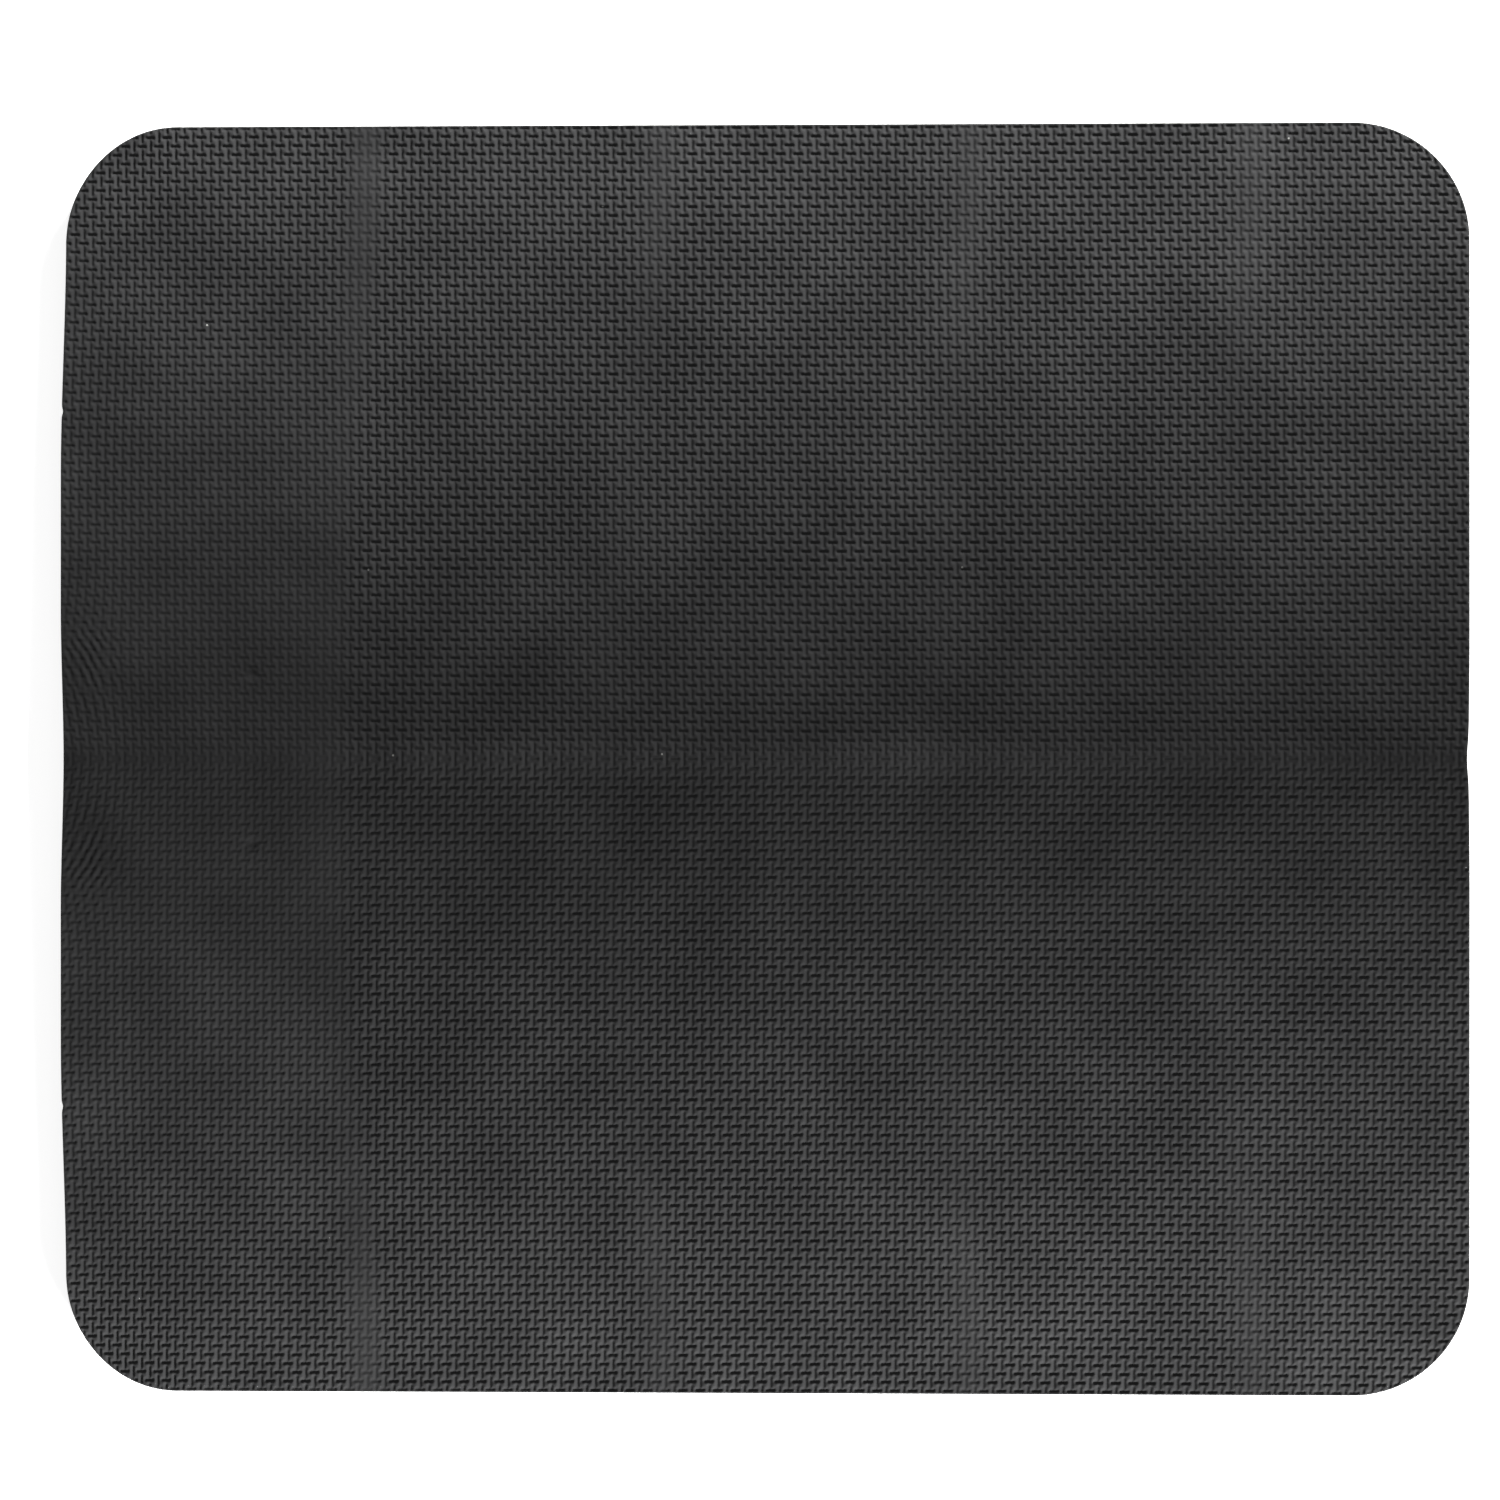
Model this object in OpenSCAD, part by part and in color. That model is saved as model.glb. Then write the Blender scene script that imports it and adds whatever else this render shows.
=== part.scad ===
// Folding foam mat. Two laminated foam panels meet at one fold line.
// The origin is the centre of the underside. +X runs along the fold line, +Y points to the rear
// panel and +Z points up. The panels turn about the fold line at the top face, so the two
// embossed faces meet when the mat is folded, and the cut under the fold opens.

/* [Mat] */
// Width of the mat, along the fold line
mat_w = 600; // [400:10:1000]
// Depth of the open mat, across the fold line
mat_d = 540; // [300:10:1000]
// Radius of the four outer corners
corner_r = 50; // [10:1:80]

/* [Layers] */
// Thickness of the whole mat
mat_t = 10; // [6:0.5:20]
// Thickness of the embossed wear skin on top
top_skin_t = 1.2; // [0.6:0.1:2]
// Thickness of the anti-slip skin underneath
base_skin_t = 0.8; // [0.4:0.1:1.6]

/* [Fold] */
// How far each side edge is drawn in at the end of the fold line
pinch_in = 1.2; // [0.2:0.1:3]
// How far that taper runs along the side edge from the fold line
pinch_run = 60; // [20:5:90]

/* [Hidden] */
half_w = mat_w / 2;
panel_d = mat_d / 2;
core_t = mat_t - top_skin_t - base_skin_t;
foam_colour = [0.07, 0.07, 0.075];
skin_colour = [0.13, 0.13, 0.135];
base_colour = [0.1, 0.1, 0.105];
$fn = 96;

// The rear panel's outline: straight along the fold line at y = 0, with two round outer corners.
module panel_outline() {
  polygon([
    [-half_w + pinch_in, 0],
    [half_w - pinch_in, 0],
    [half_w, pinch_run],
    [half_w, panel_d - corner_r],
    [-half_w, panel_d - corner_r],
    [-half_w, pinch_run]
  ]);
  translate([-half_w + corner_r, panel_d - corner_r - 1])
    square([mat_w - 2 * corner_r, corner_r + 1]);
  for (side = [-1, 1])
    translate([side * (half_w - corner_r), panel_d - corner_r])
      circle(r = corner_r);
}

// One flat layer of the rear panel, from height low up by its thickness.
module panel_layer(low, thickness) {
  translate([0, 0, low])
    linear_extrude(thickness)
      panel_outline();
}

// The front panel is the rear one mirrored across the fold line.
module front_side() {
  mirror([0, 1, 0])
    children();
}

module rear_core() {
  color(foam_colour)
    panel_layer(base_skin_t, core_t);
}

module rear_top_skin() {
  color(skin_colour)
    panel_layer(mat_t - top_skin_t, top_skin_t);
}

module rear_base_skin() {
  color(base_colour)
    panel_layer(0, base_skin_t);
}

module front_core() {
  front_side()
    rear_core();
}

module front_top_skin() {
  front_side()
    rear_top_skin();
}

module front_base_skin() {
  front_side()
    rear_base_skin();
}

front_core();
front_top_skin();
front_base_skin();
rear_core();
rear_top_skin();
rear_base_skin();
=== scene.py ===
"""Looks of a folding foam mat: an embossed top skin, cut foam cores and a studded base skin.

Lengths are in metres, in the part's own frame. Each skin is one grid of points that is bent to the
outline of the open mat, so that the pieces cut from it share their border points and normals.
"""

import math

import bpy
import numpy as np
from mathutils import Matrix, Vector, noise


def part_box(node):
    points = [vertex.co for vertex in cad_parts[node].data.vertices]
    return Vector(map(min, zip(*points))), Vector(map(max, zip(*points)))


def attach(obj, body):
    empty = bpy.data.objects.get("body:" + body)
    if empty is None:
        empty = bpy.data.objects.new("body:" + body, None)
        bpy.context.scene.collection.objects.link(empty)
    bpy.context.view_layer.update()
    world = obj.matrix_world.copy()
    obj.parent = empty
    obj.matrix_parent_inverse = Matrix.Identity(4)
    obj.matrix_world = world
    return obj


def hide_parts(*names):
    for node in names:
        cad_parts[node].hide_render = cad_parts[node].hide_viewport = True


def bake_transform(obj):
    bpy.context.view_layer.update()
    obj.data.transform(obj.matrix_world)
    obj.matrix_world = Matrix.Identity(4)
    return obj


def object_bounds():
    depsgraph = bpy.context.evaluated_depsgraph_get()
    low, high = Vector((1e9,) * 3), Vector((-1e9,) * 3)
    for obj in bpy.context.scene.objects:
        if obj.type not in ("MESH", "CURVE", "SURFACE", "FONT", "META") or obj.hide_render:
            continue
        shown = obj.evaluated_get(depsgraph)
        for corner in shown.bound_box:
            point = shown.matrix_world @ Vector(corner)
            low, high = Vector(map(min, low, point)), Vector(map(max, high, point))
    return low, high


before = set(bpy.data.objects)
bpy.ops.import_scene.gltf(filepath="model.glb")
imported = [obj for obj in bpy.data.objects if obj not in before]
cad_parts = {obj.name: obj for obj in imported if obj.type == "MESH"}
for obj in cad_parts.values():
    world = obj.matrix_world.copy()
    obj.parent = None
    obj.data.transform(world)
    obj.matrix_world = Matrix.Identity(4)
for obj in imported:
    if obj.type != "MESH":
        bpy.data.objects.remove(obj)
cad_low, cad_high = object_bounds()

MM = 0.001
FRONT, REAR = "front_panel", "rear_panel"
HALF_W, HALF_D, THICK = cad_high.x, cad_high.y, cad_high.z
SKIN_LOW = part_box("rear_top_skin")[0].z
BASE_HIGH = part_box("rear_base_skin")[1].z
# The outline's corner radius, as in the CAD.
CORNER_R = 50 * MM

# The embossed T pattern: its pitch, its depth, and its strokes in pitches.
PITCH = 7.5 * MM
STEPS_PER_PITCH = 14
EMBOSS_DEPTH = 0.7 * MM
BAR_HALF = 0.2
STEM_GAP = 0.3
STROKE_HALF = 0.18
# The edges of the top face and of the underside roll over with these radii. Besides the even grid
# lines, a grid has closer ones at these degrees round the roll.
TOP_ROLL = 0.6 * MM
BASE_ROLL = 0.6 * MM
ROLL_DEGREES = (50, 65, 78)
# The skin within this many grid rows of the fold line is the living hinge, which bends.
HINGE_ROWS = 5
TILES_PER_PANEL = 8

# How far the side edges are drawn in. The left one has a pinch at the fold, a taper towards each
# corner and a nick in each panel. The right one has a shallow pinch with a short notch in it.
SIDE_REACH = 60 * MM
LEFT_PINCH = 1.2 * MM
LEFT_PINCH_HALF = 64 * MM
LEFT_TAPER = 2.3 * MM
LEFT_TAPER_START = 120 * MM
LEFT_TAPER_LENGTH = 105 * MM
RIGHT_PINCH = 0.35 * MM
RIGHT_PINCH_HALF = 56 * MM
RIGHT_NOTCH = 0.7 * MM
RIGHT_NOTCH_WIDTH = 8 * MM
NICK = 0.5 * MM
NICK_REACH = 3 * MM
NICK_FROM_FOLD = 148.5 * MM
NICK_WIDTH = 1.6 * MM

# The emboss is a little wider apart close to the fold than further out.
STRETCH = 0.031
STRETCH_REACH = 75 * MM
# Beside the left end of the fold the pattern has slid outwards, and everywhere it wanders a little.
SLIDE = 4 * MM
WANDER = 0.25 * MM
SWAY = 0.3 * MM

# The small dent in each panel near the pinched left end, which is squashed across the fold.
DENT_X = -218 * MM
DENT_FROM_FOLD = 36 * MM
DENT_RADIUS = 2.5 * MM
DENT_SQUASH = 1.2
DENT_DEPTH = 0.78 * MM
# The creases at the pinched left end, which curve out towards the edge as they leave the fold, and
# the hollow inside them.
CREASE_DEPTH = 0.4 * MM
CREASE_PITCH = 3.9 * MM
CREASE_CURVE = 150 * MM
HOLLOW_DEPTH = 0.2 * MM
HOLLOW_FROM_EDGE = 24 * MM

# Bands where the emboss is pressed flatter, in mm: x at the fold, x at the far edge. Then the share
# of the emboss that is lost there.
PRESSED_BANDS = ((-188, -169, 0.55), (-69, -43, 0.3), (72, 88, 0.3), (186, 208, 0.3))
BAND_WIDTH = 7 * MM
# Close to the fold the bands have this share of their strength.
BAND_NEAR_FOLD = 0.4
# The share of the emboss that is lost in the dents and creases, beside the fold and at the left.
DENT_LOSS = 0.85
CREASE_LOSS = 0.45
FOLD_RUB = 0.12
LEFT_RUB = 0.34
# At the very edge of the mat the emboss has this share of its depth, and it is full this far in.
EDGE_SHARE = 0.35
EDGE_FADE = 1.5 * MM

# Slow waves of the top face, whose lengths don't fit each other, so that they never repeat.
LONG_WAVE = 0.1 * MM
SHORT_WAVE = 0.05 * MM


# ---------------------------------------------------------------- outline and warps

def smooth(t):
    """Smooth step from 0 at t = 0 to 1 at t = 1."""
    t = np.clip(t, 0, 1)
    return t * t * (3 - 2 * t)


def ramp(x, length, start=0.0):
    """Smooth step from 0 at x = start to 1 a length further on."""
    return smooth((x - start) / length)


def bell(x, width, at=0.0):
    """A soft bump of height 1 at x = at."""
    return np.exp(-(((x - at) / width) ** 2))


def edge_distance(x, y):
    """How far each point lies inside the mat's outline before the sides are drawn in."""
    qx = np.abs(x) - (HALF_W - CORNER_R)
    qy = np.abs(y) - (HALF_D - CORNER_R)
    outside = np.hypot(np.maximum(qx, 0), np.maximum(qy, 0))
    return CORNER_R - outside - np.minimum(np.maximum(qx, qy), 0)


def round_corners(x, y):
    """Bends the corners of a square grid to the outline's round corners."""
    a = np.maximum(np.abs(x) - (HALF_W - CORNER_R), 0) / CORNER_R
    b = np.maximum(np.abs(y) - (HALF_D - CORNER_R), 0) / CORNER_R
    in_x = CORNER_R * a * (1 - np.sqrt(1 - b * b / 2))
    in_y = CORNER_R * b * (1 - np.sqrt(1 - a * a / 2))
    return x - np.sign(x) * in_x, y - np.sign(y) * in_y


def draw_in_sides(x, y):
    """Moves points sideways where the side edges are pinched, bowed or nicked."""
    along = np.abs(y)
    near_left = smooth(1 - (HALF_W + x) / SIDE_REACH)
    near_right = smooth(1 - (HALF_W - x) / SIDE_REACH)
    at_left = smooth(1 - (HALF_W + x) / NICK_REACH)
    left = LEFT_PINCH * smooth(1 - along / LEFT_PINCH_HALF)
    left = left + LEFT_TAPER * ramp(along, LEFT_TAPER_LENGTH, start=LEFT_TAPER_START)
    right = RIGHT_PINCH * smooth(1 - along / RIGHT_PINCH_HALF)
    right = right + RIGHT_NOTCH * bell(along, RIGHT_NOTCH_WIDTH)
    nick = NICK * bell(along, NICK_WIDTH, at=NICK_FROM_FOLD)
    return x + near_left * left + at_left * nick - near_right * right


# ---------------------------------------------------------------- the top face's relief

def groove(distance):
    """Depth share of a round-sided groove at a distance from its centre line, in pitches."""
    return 0.5 + 0.5 * np.cos(np.pi * np.clip(distance / STROKE_HALF, 0, 1))


def t_stroke(u, v):
    """Depth share of the T grooves of one lattice: a bar, with a stem down towards the next bar."""
    u = u - np.round(u)
    v = v - np.round(v)
    bar = np.hypot(np.maximum(np.abs(u) - BAR_HALF, 0), v)
    past_stem = np.maximum(np.minimum(v, STEM_GAP - v), 0)
    stem = np.hypot(u, past_stem)
    return groove(np.minimum(bar, stem))


def pattern_place(x, y):
    """Where a point falls in the emboss, in pitches. The rear half's Ts mirror in the front half."""
    along = np.abs(y)
    slide = SLIDE * bell(x, width=22 * MM, at=-HALF_W) * bell(along, width=26 * MM, at=40 * MM)
    wander = WANDER * np.sin(x / (37 * MM) + 2 * np.sin(y / (61 * MM)))
    stretch = STRETCH * STRETCH_REACH * np.tanh(along / STRETCH_REACH)
    sway = SWAY * np.sin(x / (83 * MM) + 0.7)
    return (x + slide + wander) / PITCH, (along - stretch + sway) / PITCH


def dent_shape(x, y):
    """Share of the small dent that each panel has near its pinched end."""
    past = (np.abs(y) - DENT_FROM_FOLD) * DENT_SQUASH
    return bell(np.hypot(x - DENT_X, past), DENT_RADIUS)


def crease_share(x, y):
    """Share of the creasing at the pinched left end, on both sides of the fold."""
    from_edge = x + HALF_W
    reach = ramp(from_edge, length=3 * MM) * bell(from_edge, width=12 * MM, at=11 * MM)
    return reach * bell(np.abs(y), width=20 * MM, at=42 * MM)


def press_marks(x, y):
    """Share of the emboss that is left where the skin was pressed or rubbed smooth."""
    along = np.abs(y)
    lean = smooth(along / HALF_D)
    strength = BAND_NEAR_FOLD + (1 - BAND_NEAR_FOLD) * ramp(along, length=90 * MM, start=150 * MM)
    left = (1 - DENT_LOSS * dent_shape(x, y)) * (1 - CREASE_LOSS * crease_share(x, y))
    for at_fold, at_edge, loss in PRESSED_BANDS:
        band = (at_fold + (at_edge - at_fold) * lean) * MM
        left = left * (1 - loss * strength * bell(x, BAND_WIDTH, at=band))
    fold_rub = FOLD_RUB * bell(along, width=35 * MM, at=45 * MM)
    towards_fold = 1 - ramp(along, length=240 * MM, start=60 * MM)
    left_rub = LEFT_RUB * ramp(-x, length=30 * MM, start=165 * MM) * towards_fold
    return left * (1 - fold_rub) * (1 - left_rub)


def pucker(x, y):
    """Depth of the slanting creases by the pinched left end, and of a hollow just inside them."""
    along = np.abs(y)
    from_edge = x + HALF_W
    across = (from_edge + along ** 2 / CREASE_CURVE) / CREASE_PITCH
    creases = CREASE_DEPTH * crease_share(x, y) * (0.5 + 0.5 * np.sin(2 * np.pi * across))
    hollow = ramp(from_edge, HOLLOW_FROM_EDGE) * bell(from_edge, width=20 * MM, at=HOLLOW_FROM_EDGE)
    return creases + HOLLOW_DEPTH * hollow * bell(along, width=30 * MM, at=24 * MM)


def dips(x, y):
    """How far the top face lies below its highest plane, apart from the emboss."""
    along = np.abs(y)
    inside = ramp(edge_distance(x, y), length=14 * MM)
    waves = LONG_WAVE * (1 + np.sin(x / (71 * MM) + 1.3) * np.sin(y / (58 * MM) + 0.4))
    waves = waves + SHORT_WAVE * (1 + np.sin(x / (29 * MM) + y / (47 * MM)))
    dent = DENT_DEPTH * dent_shape(x, y)
    return (waves * ramp(along, length=12 * MM) + dent) * inside + pucker(x, y)


def rolled(distance, radius):
    """How far the surface drops where its edge rolls over."""
    inward = np.clip(distance, 0, radius)
    return radius - np.sqrt(np.maximum(radius ** 2 - (radius - inward) ** 2, 0))


def top_height(x, y):
    """Height of the top face."""
    u, v = pattern_place(x, y)
    strokes = np.maximum(t_stroke(u, v), t_stroke(u - 0.5, v - 0.5))
    distance = edge_distance(x, y)
    share = press_marks(x, y) * (EDGE_SHARE + (1 - EDGE_SHARE) * ramp(distance, EDGE_FADE))
    return THICK - dips(x, y) - EMBOSS_DEPTH * share * strokes - rolled(distance, TOP_ROLL)


# ---------------------------------------------------------------- grids and pieces

def grid_lines(half, step, roll):
    """Even lines from -half to half, with closer ones where the edge rolls over."""
    count = round(half / step)
    even = np.linspace(-half, half, 2 * count + 1)
    closer = [half - roll * (1 - math.sin(math.radians(a))) for a in ROLL_DEGREES]
    return np.unique(np.concatenate([even, closer, [-c for c in closer]]))


def drawn_grid(x_lines, y_lines, height):
    """Points of a surface over the mat's outline, as arrays of rows across y."""
    square_x, square_y = np.meshgrid(x_lines, y_lines)
    x, y = round_corners(square_x, square_y)
    z = height(x, y)
    return np.stack([draw_in_sides(x, y), y, z], axis=-1)


def grid_normals(points, up):
    """A unit normal at each point of a grid."""
    along_y, along_x = np.gradient(points, axis=0), np.gradient(points, axis=1)
    normal = np.cross(along_x, along_y) * up
    return normal / np.maximum(np.linalg.norm(normal, axis=-1, keepdims=True), 1e-12)


def new_piece(name, points, faces, normals):
    """A mesh object from points, a list of faces and a normal for each face corner."""
    mesh = bpy.data.meshes.new(name)
    mesh.from_pydata(points, [], faces)
    mesh.polygons.foreach_set("use_smooth", np.ones(len(faces), bool))
    mesh.normals_split_custom_set(normals)
    piece = bpy.data.objects.new(name, mesh)
    bpy.context.scene.collection.objects.link(piece)
    return piece


def slab(name, surface, normals, flat_z, full_back=False):
    """A closed piece between a patch of a grid and a flat back at height flat_z.

    The back is a fan of triangles, or with full_back a grid of its own, which can bend.
    """
    rows, columns = surface.shape[:2]
    up = 1 if flat_z < surface[..., 2].mean() else -1
    index = np.arange(rows * columns).reshape(rows, columns)
    quads = np.stack([index[:-1, :-1], index[:-1, 1:], index[1:, 1:], index[1:, :-1]], axis=-1)
    quads = quads.reshape(-1, 4)
    rim = np.concatenate([index[0, :-1], index[:-1, -1], index[-1, :0:-1], index[:0:-1, 0]])
    flat = surface.reshape(-1, 3)
    if full_back:
        back = flat.copy()
        back[:, 2] = flat_z
        back_rim = rim + len(flat)
        back_faces = (quads + len(flat))[:, ::-1]
    else:
        back = np.concatenate([flat[rim], [flat[rim].mean(axis=0)]])
        back[:, 2] = flat_z
        back_rim = len(flat) + np.arange(len(rim))
        centre = np.full(len(rim), len(flat) + len(rim))
        back_faces = np.stack([np.roll(back_rim, -1), back_rim, centre], axis=-1)
    walls = np.stack([back_rim, np.roll(back_rim, -1), np.roll(rim, -1), rim], axis=-1)
    faces = [quads, walls, back_faces]
    points = np.concatenate([flat, back])
    edge = points[walls[:, 1]] - points[walls[:, 0]]
    outward = np.stack([edge[:, 1], -edge[:, 0], np.zeros(len(edge))], axis=-1)
    outward /= np.maximum(np.linalg.norm(outward, axis=1, keepdims=True), 1e-12)
    corner_normals = np.concatenate([
        normals.reshape(-1, 3)[quads.ravel()],
        np.repeat(outward, 4, axis=0),
        np.tile([0, 0, -up], (back_faces.size, 1)),
    ])
    if up < 0:
        faces = [f[:, ::-1] for f in faces]
        starts = np.cumsum([0] + [f.size for f in faces])
        corner_normals = np.concatenate([
            corner_normals[a:b].reshape(f.shape + (3,))[:, ::-1].reshape(-1, 3)
            for f, a, b in zip(faces, starts[:-1], starts[1:])
        ])
    return new_piece(name, points.tolist(), [f for group in faces for f in group.tolist()],
                     corner_normals.tolist())


def nearest(lines, value):
    """Index of the grid line nearest a value."""
    return int(np.argmin(np.abs(lines - value)))


# ---------------------------------------------------------------- top skin

step = PITCH / STEPS_PER_PITCH
x_lines = grid_lines(HALF_W, step, TOP_ROLL)
y_lines = grid_lines(HALF_D, step, TOP_ROLL)
top = drawn_grid(x_lines, y_lines, top_height)
top_normals = grid_normals(top, 1)

hinge_half = HINGE_ROWS * step
front_end = nearest(y_lines, -hinge_half)
rear_start = nearest(y_lines, hinge_half)
column_cuts = [nearest(x_lines, c) for c in np.linspace(-HALF_W, HALF_W, TILES_PER_PANEL + 1)]

top_pieces = []
for side, body, rows in (
    ("front", FRONT, slice(0, front_end + 1)),
    ("rear", REAR, slice(rear_start, len(y_lines))),
):
    for tile in range(TILES_PER_PANEL):
        patch = (rows, slice(column_cuts[tile], column_cuts[tile + 1] + 1))
        piece = slab(f"{side}_top_skin_{tile + 1}", top[patch], top_normals[patch], SKIN_LOW)
        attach(piece, body)
        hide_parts(f"{side}_top_skin")
        top_pieces.append(piece)

patch = (slice(front_end, rear_start + 1), slice(0, len(x_lines)))
hinge_skin = slab("hinge_skin", top[patch], top_normals[patch], SKIN_LOW, full_back=True)
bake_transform(hinge_skin)
top_pieces.append(hinge_skin)


# ---------------------------------------------------------------- base skin

BASE_PITCH = 7.5 * MM
BASE_STEPS = 8
STUD_DEPTH = 0.4 * MM
BASE_TILES = 2


def base_height(x, y):
    """Height of the underside: round anti-slip studs in a diagonal grid, standing on the floor."""
    turn = 2 * math.pi / BASE_PITCH
    studs = 0.5 - 0.5 * np.cos(turn * x) * np.cos(turn * y)
    distance = edge_distance(x, y)
    fade = ramp(distance, length=3 * MM)
    return STUD_DEPTH * studs * fade + rolled(distance, BASE_ROLL)


base_step = BASE_PITCH / BASE_STEPS
base_x = grid_lines(HALF_W, base_step, BASE_ROLL)
base_y = grid_lines(HALF_D, base_step, BASE_ROLL)
base = drawn_grid(base_x, base_y, base_height)
base_normals = grid_normals(base, -1)
base_cuts = [nearest(base_x, c) for c in np.linspace(-HALF_W, HALF_W, BASE_TILES + 1)]
fold_row = nearest(base_y, 0)

base_pieces = []
for side, body, rows in (
    ("front", FRONT, slice(0, fold_row + 1)),
    ("rear", REAR, slice(fold_row, len(base_y))),
):
    for tile in range(BASE_TILES):
        patch = (rows, slice(base_cuts[tile], base_cuts[tile + 1] + 1))
        piece = slab(f"{side}_base_skin_{tile + 1}", base[patch], base_normals[patch], BASE_HIGH)
        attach(piece, body)
        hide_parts(f"{side}_base_skin")
        base_pieces.append(piece)


# ---------------------------------------------------------------- foam cores

CORE_STEP = 0.8 * MM
CORE_ROWS = 11
# The slit under the hinge leaves this gap between each core and the fold plane.
CUT_GAP = 0.15 * MM
# A core's walls stand in from the skins' edges, are hollow at mid-height and are pitted by cells.
CORE_INSET = 0.12 * MM
WALL_HOLLOW = 0.22 * MM
CELL = 1.3 * MM
CELL_DEPTH = 0.16 * MM
CELL_SHARPNESS = 1.6
SHARP_ANGLE = math.radians(50)


def straight_wall(start, end, outward):
    """Even points along a straight stretch of wall, with their outward normals."""
    count = round(math.dist(start, end) / CORE_STEP)
    return np.linspace(start, end, count), np.tile(outward, (count, 1))


def corner_wall(centre, first_angle):
    """Even points round a corner, apart from its two ends, with their outward normals."""
    count = round(math.pi / 2 * CORNER_R / CORE_STEP)
    angles = first_angle + np.linspace(0, math.pi / 2, count, endpoint=False)[1:]
    outward = np.stack([np.cos(angles), np.sin(angles)], axis=1)
    return np.array(centre) + CORNER_R * outward, outward


def core_outline(sign):
    """Points round the rear core with sign 1, or the front one with sign -1, and their normals."""
    straight_x = HALF_W - CORNER_R
    straight_y = HALF_D - CORNER_R
    stretches = (
        straight_wall((-HALF_W, CUT_GAP), (HALF_W, CUT_GAP), (0, -1)),
        straight_wall((HALF_W, CUT_GAP), (HALF_W, straight_y), (1, 0)),
        corner_wall((straight_x, straight_y), 0),
        straight_wall((straight_x, HALF_D), (-straight_x, HALF_D), (0, 1)),
        corner_wall((-straight_x, straight_y), math.pi / 2),
        straight_wall((-HALF_W, straight_y), (-HALF_W, CUT_GAP), (-1, 0)),
    )
    points = np.concatenate([points for points, _ in stretches])
    outward = np.concatenate([outward for _, outward in stretches])
    return points * [1, sign], outward * [1, sign]


def foam_core(name, sign):
    """A panel's core, with cut foam cells in its walls, which draw in a little between the skins."""
    ring, outward = core_outline(sign)
    middle_z = (BASE_HIGH + SKIN_LOW) / 2
    half_thick = (SKIN_LOW - BASE_HIGH) / 2
    points = []
    for z in np.linspace(BASE_HIGH, SKIN_LOW, CORE_ROWS):
        wall_inset = CORE_INSET + WALL_HOLLOW * (1 - ((z - middle_z) / half_thick) ** 2)
        for (px, py), (nx, ny) in zip(ring, outward):
            from_cell = noise.voronoi(Vector((px, py, z)) / CELL)[0][0]
            inset = wall_inset + CELL_DEPTH * (1 - min(from_cell * CELL_SHARPNESS, 1))
            points.append((px - nx * inset, py - ny * inset, z))
    points = np.array(points)
    points[:, 0] = draw_in_sides(points[:, 0], points[:, 1])

    count = len(ring)
    at = np.arange(count)
    following = (at + 1) % count
    band = np.stack([at, following, following + count, at + count], axis=-1)
    faces = [face for row in range(CORE_ROWS - 1) for face in (band + row * count).tolist()]
    last = (CORE_ROWS - 1) * count
    low_centre = CORE_ROWS * count
    high_centre = low_centre + 1
    sides = list(zip(at.tolist(), following.tolist()))
    faces += [[b, a, low_centre] for a, b in sides]
    faces += [[a + last, b + last, high_centre] for a, b in sides]
    centre = points.mean(axis=0)
    points = points.tolist() + [[centre[0], centre[1], BASE_HIGH], [centre[0], centre[1], SKIN_LOW]]
    if sign < 0:
        faces = [face[::-1] for face in faces]
    mesh = bpy.data.meshes.new(name)
    mesh.from_pydata(points, [], faces)
    mesh.polygons.foreach_set("use_smooth", np.ones(len(faces), bool))
    mesh.set_sharp_from_angle(angle=SHARP_ANGLE)
    piece = bpy.data.objects.new(name, mesh)
    bpy.context.scene.collection.objects.link(piece)
    return piece


core_pieces = []
for side, body, sign in (("front", FRONT, -1), ("rear", REAR, 1)):
    piece = foam_core(f"{side}_foam_core", sign)
    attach(piece, body)
    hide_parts(f"{side}_core")
    core_pieces.append(piece)


# ---------------------------------------------------------------- materials

# The scales of the noise that mottles the colour and wears the roughness, per metre.
MOTTLE_SCALE = 26
WEAR_SCALE = 180
BUMP_STRENGTH = 0.6
DUST_COLOUR = (0.2, 0.2, 0.19)
DUST_SPACING = 26 * MM
DUST_SHARE = 0.32
DUST_RADIUS = 0.45 * MM


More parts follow.
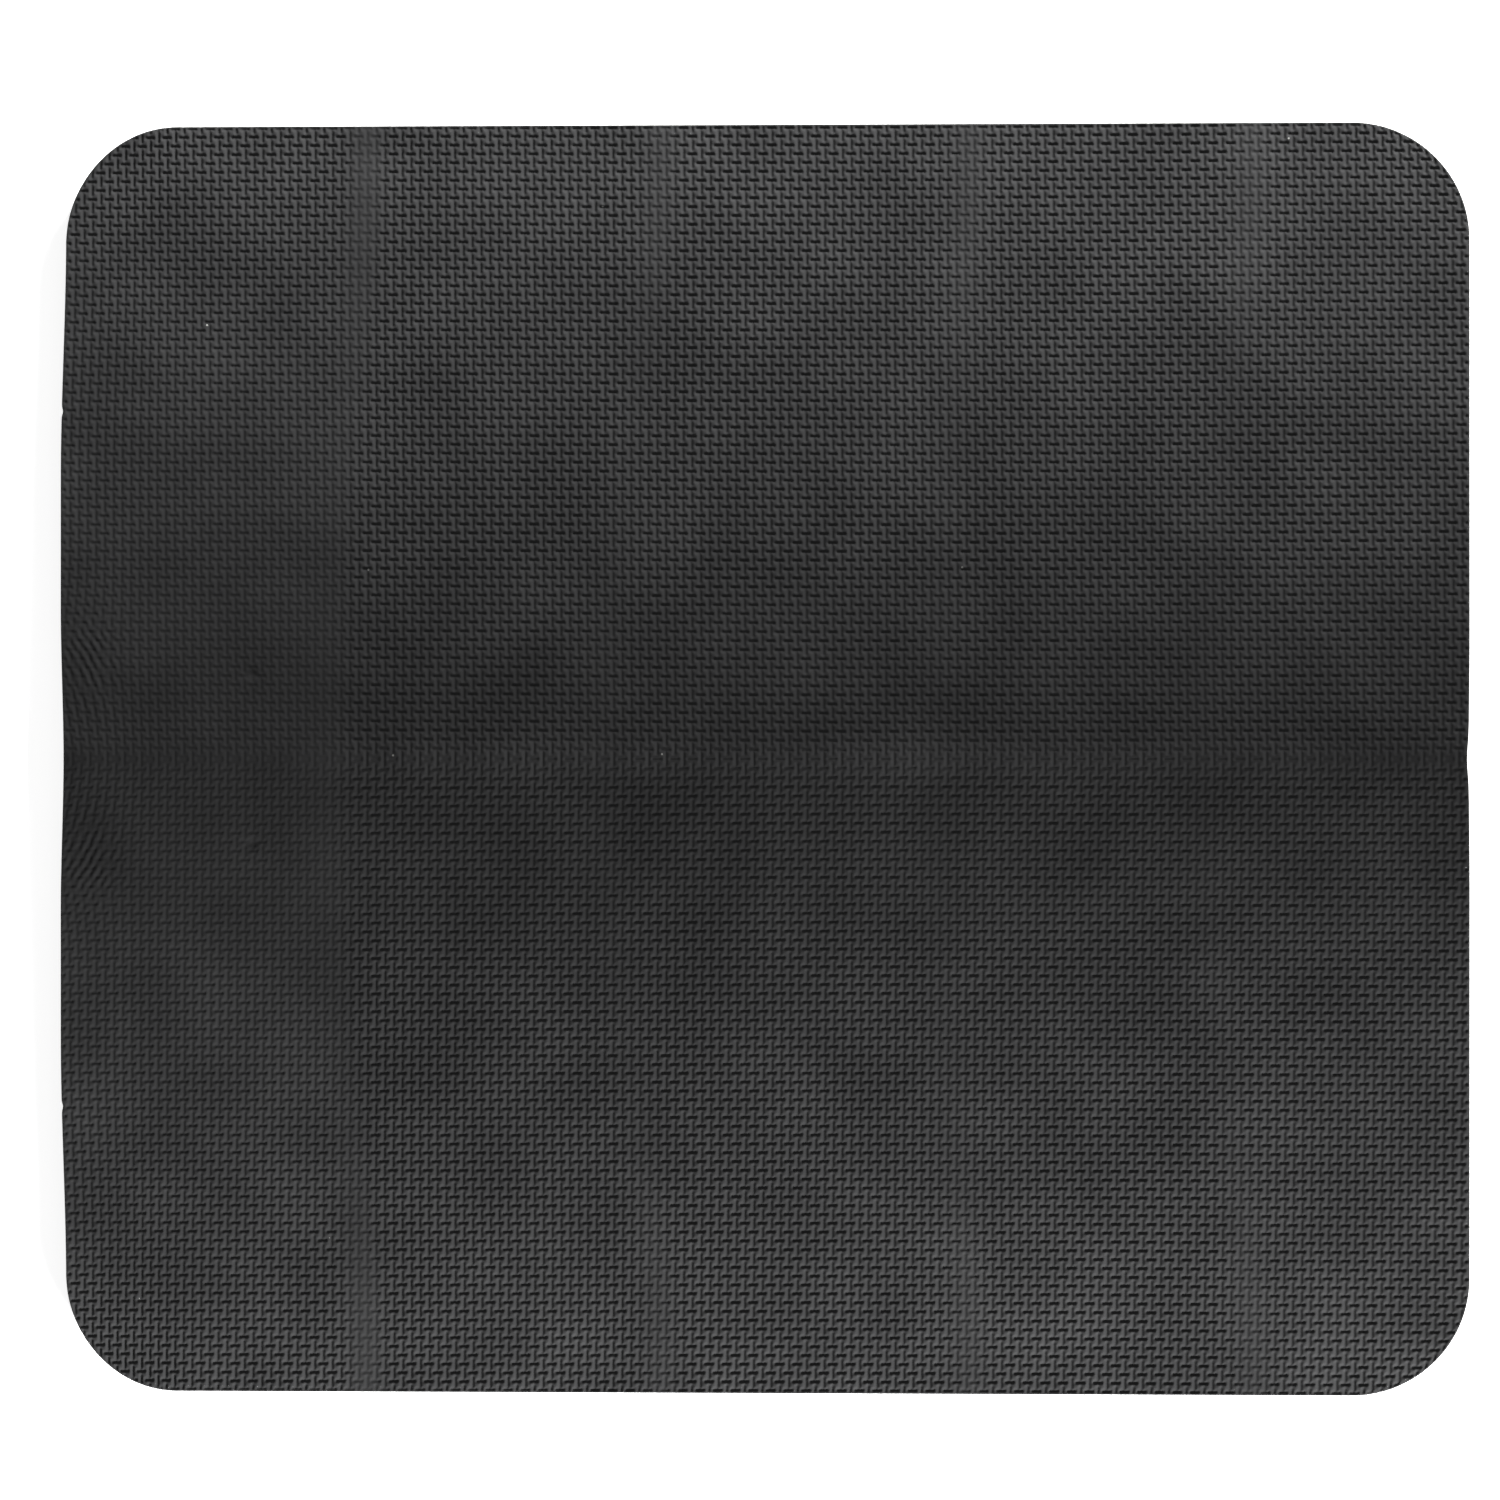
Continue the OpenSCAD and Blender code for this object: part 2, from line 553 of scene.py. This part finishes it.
def foam_material(name, dark, light, rough_low, rough_high, grain, bump, specular):
    """Near-black closed-cell foam: faint mottling, a fine grain and uneven roughness.

    The colour runs from dark to light, grain is the fineness of the bump, and bump its depth.
    """
    material = bpy.data.materials.new(name)
    material.use_nodes = True
    nodes, links = material.node_tree.nodes, material.node_tree.links
    shader = nodes["Principled BSDF"]
    shader.inputs["Specular IOR Level"].default_value = specular
    place = nodes.new("ShaderNodeTexCoord")

    def noise_of(scale, detail):
        texture = nodes.new("ShaderNodeTexNoise")
        texture.inputs["Scale"].default_value = scale
        texture.inputs["Detail"].default_value = detail
        links.new(place.outputs["Object"], texture.inputs["Vector"])
        return texture

    mottle = noise_of(MOTTLE_SCALE, 4)
    colours = nodes.new("ShaderNodeValToRGB")
    colours.color_ramp.elements[0].position = 0.35
    colours.color_ramp.elements[0].color = (*dark, 1)
    colours.color_ramp.elements[1].position = 0.7
    colours.color_ramp.elements[1].color = (*light, 1)
    links.new(mottle.outputs["Fac"], colours.inputs["Fac"])
    links.new(colours.outputs["Color"], shader.inputs["Base Color"])

    wear = noise_of(WEAR_SCALE, 3)
    rough = nodes.new("ShaderNodeMapRange")
    rough.inputs["To Min"].default_value = rough_low
    rough.inputs["To Max"].default_value = rough_high
    links.new(wear.outputs["Fac"], rough.inputs["Value"])
    links.new(rough.outputs["Result"], shader.inputs["Roughness"])

    fine = noise_of(grain, 2)
    relief = nodes.new("ShaderNodeBump")
    relief.inputs["Strength"].default_value = BUMP_STRENGTH
    relief.inputs["Distance"].default_value = bump
    links.new(fine.outputs["Fac"], relief.inputs["Height"])
    links.new(relief.outputs["Normal"], shader.inputs["Normal"])
    return material


def finish_as(pieces, material):
    for piece in pieces:
        piece.data.materials.append(material)


def add_dust(material, spacing, share, radius):
    """Tiny pale specks of dust: one in a share of the cells of a lattice with this spacing."""
    nodes, links = material.node_tree.nodes, material.node_tree.links
    shader = nodes["Principled BSDF"]
    under = shader.inputs["Base Color"].links[0].from_socket
    place = nodes.new("ShaderNodeTexCoord")
    cells = nodes.new("ShaderNodeTexVoronoi")
    cells.inputs["Scale"].default_value = 1 / spacing
    links.new(place.outputs["Object"], cells.inputs["Vector"])

    def test(socket, operation, limit):
        compare = nodes.new("ShaderNodeMath")
        compare.operation = operation
        links.new(socket, compare.inputs[0])
        compare.inputs[1].default_value = limit
        return compare.outputs["Value"]

    near = test(cells.outputs["Distance"], "LESS_THAN", radius / spacing)
    chosen = test(cells.outputs["Color"], "LESS_THAN", share)
    mix = nodes.new("ShaderNodeMix")
    mix.data_type = "RGBA"
    factor = nodes.new("ShaderNodeMath")
    factor.operation = "MULTIPLY"
    links.new(near, factor.inputs[0])
    links.new(chosen, factor.inputs[1])
    links.new(factor.outputs["Value"], mix.inputs["Factor"])
    links.new(under, mix.inputs["A"])
    mix.inputs["B"].default_value = (*DUST_COLOUR, 1)
    links.new(mix.outputs["Result"], shader.inputs["Base Color"])


top_material = foam_material(
    "embossed_skin", dark=(0.024, 0.024, 0.0245), light=(0.033, 0.033, 0.0335),
    rough_low=0.5, rough_high=0.64, grain=2600, bump=0.05 * MM, specular=0.28)
add_dust(top_material, DUST_SPACING, DUST_SHARE, DUST_RADIUS)
core_material = foam_material(
    "cut_foam", dark=(0.009, 0.009, 0.0095), light=(0.018, 0.018, 0.0185),
    rough_low=0.75, rough_high=0.95, grain=1500, bump=0.12 * MM, specular=0.15)
base_material = foam_material(
    "studded_skin", dark=(0.012, 0.012, 0.0125), light=(0.018, 0.018, 0.0185),
    rough_low=0.55, rough_high=0.72, grain=2200, bump=0.06 * MM, specular=0.25)

finish_as(top_pieces, top_material)
finish_as(core_pieces, core_material)
finish_as(base_pieces, base_material)


# ---------------------------------------------------------------- floor, light and camera

def light_table(name, glow):
    """Matt white that glows a little, like a light table, so that shadows on it stay faint."""
    material = bpy.data.materials.new(name)
    material.use_nodes = True
    shader = material.node_tree.nodes["Principled BSDF"]
    shader.inputs["Base Color"].default_value = (0.9, 0.9, 0.9, 1)
    shader.inputs["Roughness"].default_value = 0.9
    shader.inputs["Specular IOR Level"].default_value = 0.1
    shader.inputs["Emission Color"].default_value = (1, 1, 1, 1)
    shader.inputs["Emission Strength"].default_value = glow
    return material


FLOOR_HALF = 6.0
FLOOR_GLOW = 0.8
floor_mesh = bpy.data.meshes.new("floor")
floor_mesh.from_pydata(
    [(-FLOOR_HALF, -FLOOR_HALF, 0), (FLOOR_HALF, -FLOOR_HALF, 0),
     (FLOOR_HALF, FLOOR_HALF, 0), (-FLOOR_HALF, FLOOR_HALF, 0)], [], [(0, 1, 2, 3)])
floor = bpy.data.objects.new("floor", floor_mesh)
bpy.context.scene.collection.objects.link(floor)
floor_mesh.materials.append(light_table("floor_white", FLOOR_GLOW))


def add_light(name, kind, place, facing, power):
    """A light of a kind that shines towards facing. It makes no mirror glare. Returns its data."""
    lamp = bpy.data.lights.new(name, kind)
    lamp.energy = power
    light = bpy.data.objects.new(name, lamp)
    light.location = place
    light.rotation_mode = "QUATERNION"
    light.rotation_quaternion = facing.to_track_quat("-Z", "Y")
    light.visible_glossy = False
    bpy.context.scene.collection.objects.link(light)
    return lamp


# Each half is lit from beyond its own right-hand corner, low enough to rake the relief.
LIGHT_PLACE = Vector((2.1, 3.05, 1.37))
# A large soft light faces outwards and down, so that it fades towards the fold and ends at the fade
# line. That line is this far from the fold in the middle of the mat, and slants by this much.
LIGHT_POWER = 21000
LIGHT_SIZE = 0.9
FADE_LINE = 20 * MM
FADE_SLANT = -0.03
# A weaker spot in the same place keeps the relief alive as far as the fold. The edge of its wide
# cone falls this far from the fold, where a negative value is past it.
SPOT_POWER = 960
SPOT_RADIUS = 3 * MM
CONE_HALF = math.radians(80)
CONE_EDGE = -8 * MM
CONE_BLEND = 0.0015


def light_half(name, flip):
    """Lights the rear half with flip 1, the front half with flip -1."""
    place = Vector((LIGHT_PLACE.x, flip * LIGHT_PLACE.y, LIGHT_PLACE.z))
    height = LIGHT_PLACE.z - THICK
    down = LIGHT_PLACE.y - FADE_LINE - FADE_SLANT * LIGHT_PLACE.x
    facing = Vector((-FADE_SLANT * height, flip * height, -down))
    soft = add_light(f"{name}_soft_light", "AREA", place, facing, LIGHT_POWER)
    soft.size = LIGHT_SIZE

    edge_ray = (Vector((0, flip * CONE_EDGE, THICK)) - place).normalized()
    inward = Vector((0, -edge_ray.z * flip, edge_ray.y * flip)).normalized()
    axis = edge_ray * math.cos(CONE_HALF) + inward * math.sin(CONE_HALF)
    spot = add_light(f"{name}_spot", "SPOT", place, axis, SPOT_POWER)
    spot.spot_size = 2 * CONE_HALF
    spot.spot_blend = CONE_BLEND
    spot.shadow_soft_size = SPOT_RADIUS


light_half("rear", 1)
light_half("front", -1)


def studio_world(horizon, overhead, horizon_top):
    """White light all round, which dims from the horizon up to a height given as a sine."""
    world = bpy.data.worlds.new("studio")
    world.use_nodes = True
    nodes, links = world.node_tree.nodes, world.node_tree.links
    place = nodes.new("ShaderNodeTexCoord")
    split = nodes.new("ShaderNodeSeparateXYZ")
    glow = nodes.new("ShaderNodeMapRange")
    glow.interpolation_type = "SMOOTHSTEP"
    glow.inputs["From Min"].default_value = horizon_top / 2
    glow.inputs["From Max"].default_value = horizon_top
    glow.inputs["To Min"].default_value = horizon
    glow.inputs["To Max"].default_value = overhead
    links.new(place.outputs["Generated"], split.inputs["Vector"])
    links.new(split.outputs["Z"], glow.inputs["Value"])
    links.new(glow.outputs["Result"], nodes["Background"].inputs["Strength"])
    nodes["Background"].inputs["Color"].default_value = (1, 1, 1, 1)
    return world


bpy.context.scene.world = studio_world(horizon=1.0, overhead=0.2, horizon_top=0.2)
bpy.context.scene.view_settings.view_transform = "Standard"

# The view looks down, leaning by a hair to the right. The mat takes up most of the picture's width,
# and its middle lies a little off the picture's middle, by these shares of the width.
CAMERA_REACH = 2.2
CAMERA_LEAN = math.radians(1.9)
MAT_SHARE = 0.94
PICTURE_W = 2 * HALF_W / MAT_SHARE
SHIFT_X = -0.008
SHIFT_Y = 0.006
SENSOR_W = 36
camera_data = bpy.data.cameras.new("camera")
camera_data.sensor_width = SENSOR_W
camera_data.lens = SENSOR_W * CAMERA_REACH / PICTURE_W
camera = bpy.data.objects.new("camera", camera_data)
view_centre = Vector((SHIFT_X * PICTURE_W, SHIFT_Y * PICTURE_W, THICK))
lean = Vector((math.sin(CAMERA_LEAN), 0, math.cos(CAMERA_LEAN)))
camera.location = view_centre + CAMERA_REACH * lean
camera.rotation_euler = (0, CAMERA_LEAN, 0)
bpy.context.scene.collection.objects.link(camera)
bpy.context.scene.camera = camera
